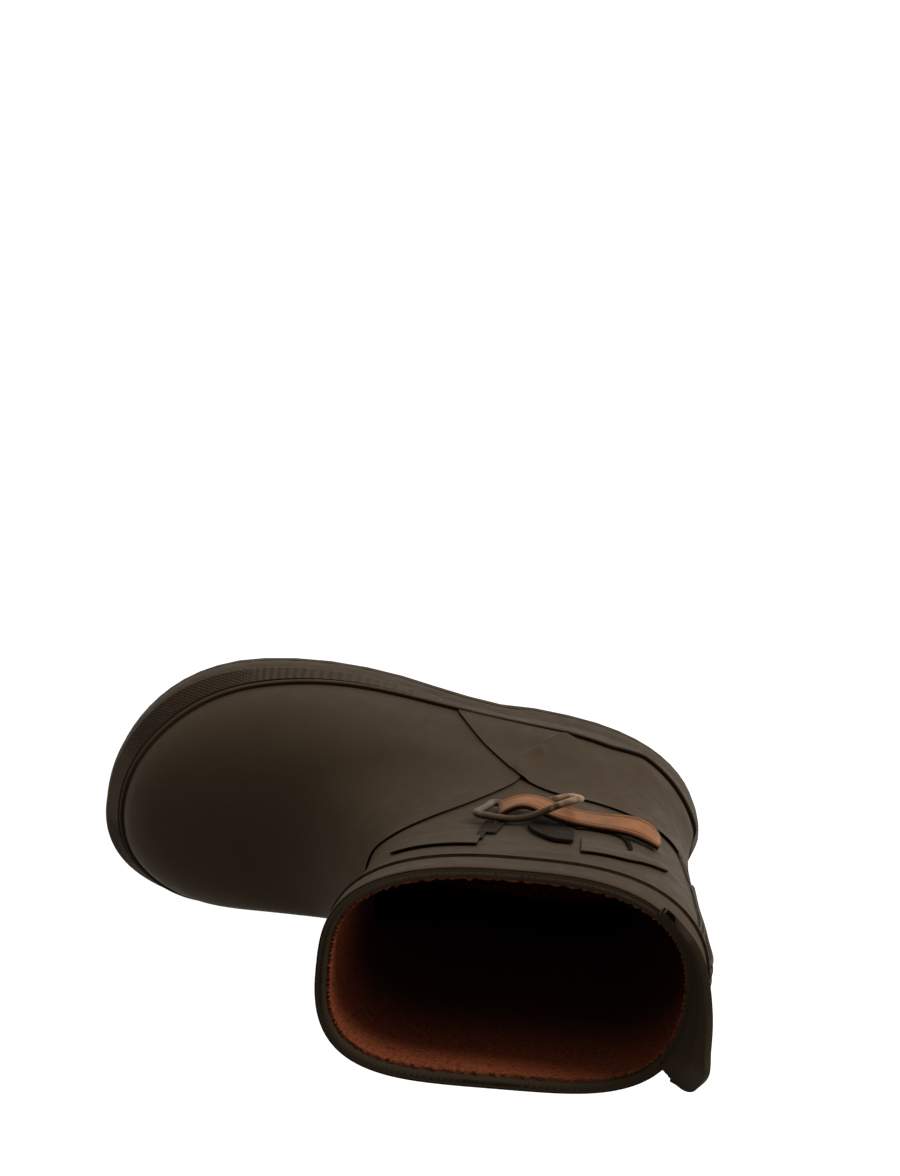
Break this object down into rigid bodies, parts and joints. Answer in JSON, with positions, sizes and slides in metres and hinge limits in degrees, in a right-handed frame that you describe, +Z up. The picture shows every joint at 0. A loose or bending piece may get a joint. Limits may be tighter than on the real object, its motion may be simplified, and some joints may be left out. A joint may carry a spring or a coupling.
{
  "type": "rubber boot",
  "caption": "Child's short rubber boot for the right foot, with a wide toe, a heel piece, a collar band, a pull tab and a buckled leather strap on the outer side",
  "frame": {"origin": "on the floor under the middle of the boot's box", "axes": "+X points to the toe, -Y to the outer side of the foot, where the buckle is, and +Z up"},
  "size_m": [0.1796, 0.075, 0.1954],
  "materials": {
    "upper_rubber": "matt",
    "sole_rubber": "matt",
    "lining": "brushed cotton",
    "strap_leather": "worn smooth",
    "buckle_metal": "olive lacquer worn to copper at the edges"
  },
  "bodies": {
    "root": {"upper": "upper_rubber", "vamp": "upper_rubber", "heel_counter": "upper_rubber", "collar_band": "upper_rubber", "backstay": "upper_rubber", "back_tab": "upper_rubber", "wing_front": "upper_rubber", "wing_back": "upper_rubber", "buckle_base": "upper_rubber", "outsole": "sole_rubber", "foxing": "sole_rubber", "insole": "lining", "strap": "strap_leather", "buckle": "buckle_metal"}
  },
  "joints": []
}
